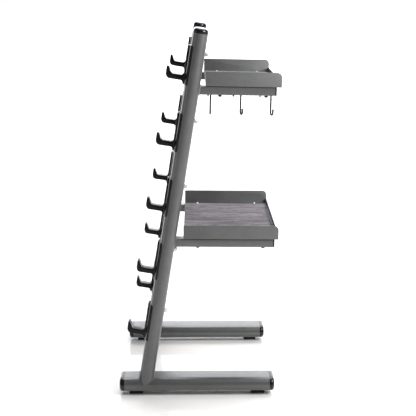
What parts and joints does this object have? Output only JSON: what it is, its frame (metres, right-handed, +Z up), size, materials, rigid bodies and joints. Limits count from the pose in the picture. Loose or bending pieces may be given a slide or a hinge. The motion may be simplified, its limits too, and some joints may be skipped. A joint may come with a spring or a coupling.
{
  "type": "bar and accessory storage rack",
  "caption": "Free-standing rack with J-hook brackets up its leaning uprights, open-fronted rear trays with mats, and swivel hooks hanging under the upper tray.",
  "frame": {"origin": "on the floor, under the centre of the whole rack's outline", "axes": "+X along the width from the left to the right side frame seen from the hooks, +Y from the hook side towards the trays, +Z up"},
  "size_m": [0.755, 0.6662, 1.5273],
  "materials": {
    "frame_paint": "satin powder coat",
    "tray_paint": "satin powder coat",
    "cap_plastic": "gloss moulded",
    "bracket_plastic": "semi-gloss moulded",
    "pad_rubber": "matt",
    "tray_mat": "streaked matt texture",
    "zinc_fastener": "bright zinc",
    "hook_wire": "dark plated"
  },
  "bodies": {
    "rack": {"foot_right": "frame_paint", "foot_cap_front_right": "cap_plastic", "foot_pad_front_right": "pad_rubber", "foot_cap_rear_right": "cap_plastic", "foot_pad_rear_right": "pad_rubber", "upright_right": "frame_paint", "upright_cap_right": "cap_plastic", "hook_bracket_right_1": "bracket_plastic", "bracket_bolt_right_1": "zinc_fastener", "hook_bracket_right_2": "bracket_plastic", "bracket_bolt_right_2": "zinc_fastener", "hook_bracket_right_3": "bracket_plastic", "bracket_bolt_right_3": "zinc_fastener", "hook_bracket_right_4": "bracket_plastic", "bracket_bolt_right_4": "zinc_fastener", "hook_bracket_right_5": "bracket_plastic", "bracket_bolt_right_5": "zinc_fastener", "foot_left": "frame_paint", "foot_cap_front_left": "cap_plastic", "foot_pad_front_left": "pad_rubber", "foot_cap_rear_left": "cap_plastic", "foot_pad_rear_left": "pad_rubber", "upright_left": "frame_paint", "upright_cap_left": "cap_plastic", "hook_bracket_left_1": "bracket_plastic", "bracket_bolt_left_1": "zinc_fastener", "hook_bracket_left_2": "bracket_plastic", "bracket_bolt_left_2": "zinc_fastener", "hook_bracket_left_3": "bracket_plastic", "bracket_bolt_left_3": "zinc_fastener", "hook_bracket_left_4": "bracket_plastic", "bracket_bolt_left_4": "zinc_fastener", "hook_bracket_left_5": "bracket_plastic", "bracket_bolt_left_5": "zinc_fastener", "upper_cross_tube": "frame_paint", "lower_cross_tube": "frame_paint", "lower_arm_right": "frame_paint", "lower_tray_bolt_front_right": "zinc_fastener", "lower_tray_bolt_rear_right": "zinc_fastener", "lower_arm_left": "frame_paint", "lower_tray_bolt_front_left": "zinc_fastener", "lower_tray_bolt_rear_left": "zinc_fastener", "lower_tray": "tray_paint", "lower_mat": "tray_mat", "upper_arm_right": "frame_paint", "upper_tray_bolt_front_right": "zinc_fastener", "upper_tray_bolt_rear_right": "zinc_fastener", "upper_arm_left": "frame_paint", "upper_tray_bolt_front_left": "zinc_fastener", "upper_tray_bolt_rear_left": "zinc_fastener", "upper_tray": "tray_paint", "upper_mat": "tray_mat"},
    "swivel_hook_right_1": {"swivel_hook_right_1": "hook_wire"},
    "swivel_hook_right_2": {"swivel_hook_right_2": "hook_wire"},
    "swivel_hook_right_3": {"swivel_hook_right_3": "hook_wire"},
    "swivel_hook_left_1": {"swivel_hook_left_1": "hook_wire"},
    "swivel_hook_left_2": {"swivel_hook_left_2": "hook_wire"},
    "swivel_hook_left_3": {"swivel_hook_left_3": "hook_wire"}
  },
  "joints": [
    {"name": "swivel_right_1", "type": "hinge", "parent": "rack", "child": "swivel_hook_right_1", "pos_m": [0.3175, 0.05115, 1.2646], "axis": [0, 0.0209, 0.9998], "continuous": true},
    {"name": "swivel_right_2", "type": "hinge", "parent": "rack", "child": "swivel_hook_right_2", "pos_m": [0.3175, 0.17162, 1.26208], "axis": [0, 0.0209, 0.9998], "continuous": true},
    {"name": "swivel_right_3", "type": "hinge", "parent": "rack", "child": "swivel_hook_right_3", "pos_m": [0.3175, 0.2921, 1.25956], "axis": [0, 0.0209, 0.9998], "continuous": true},
    {"name": "swivel_left_1", "type": "hinge", "parent": "rack", "child": "swivel_hook_left_1", "pos_m": [-0.3175, 0.05115, 1.2646], "axis": [0, 0.0209, 0.9998], "continuous": true},
    {"name": "swivel_left_2", "type": "hinge", "parent": "rack", "child": "swivel_hook_left_2", "pos_m": [-0.3175, 0.17162, 1.26208], "axis": [0, 0.0209, 0.9998], "continuous": true},
    {"name": "swivel_left_3", "type": "hinge", "parent": "rack", "child": "swivel_hook_left_3", "pos_m": [-0.3175, 0.2921, 1.25956], "axis": [0, 0.0209, 0.9998], "continuous": true}
  ]
}
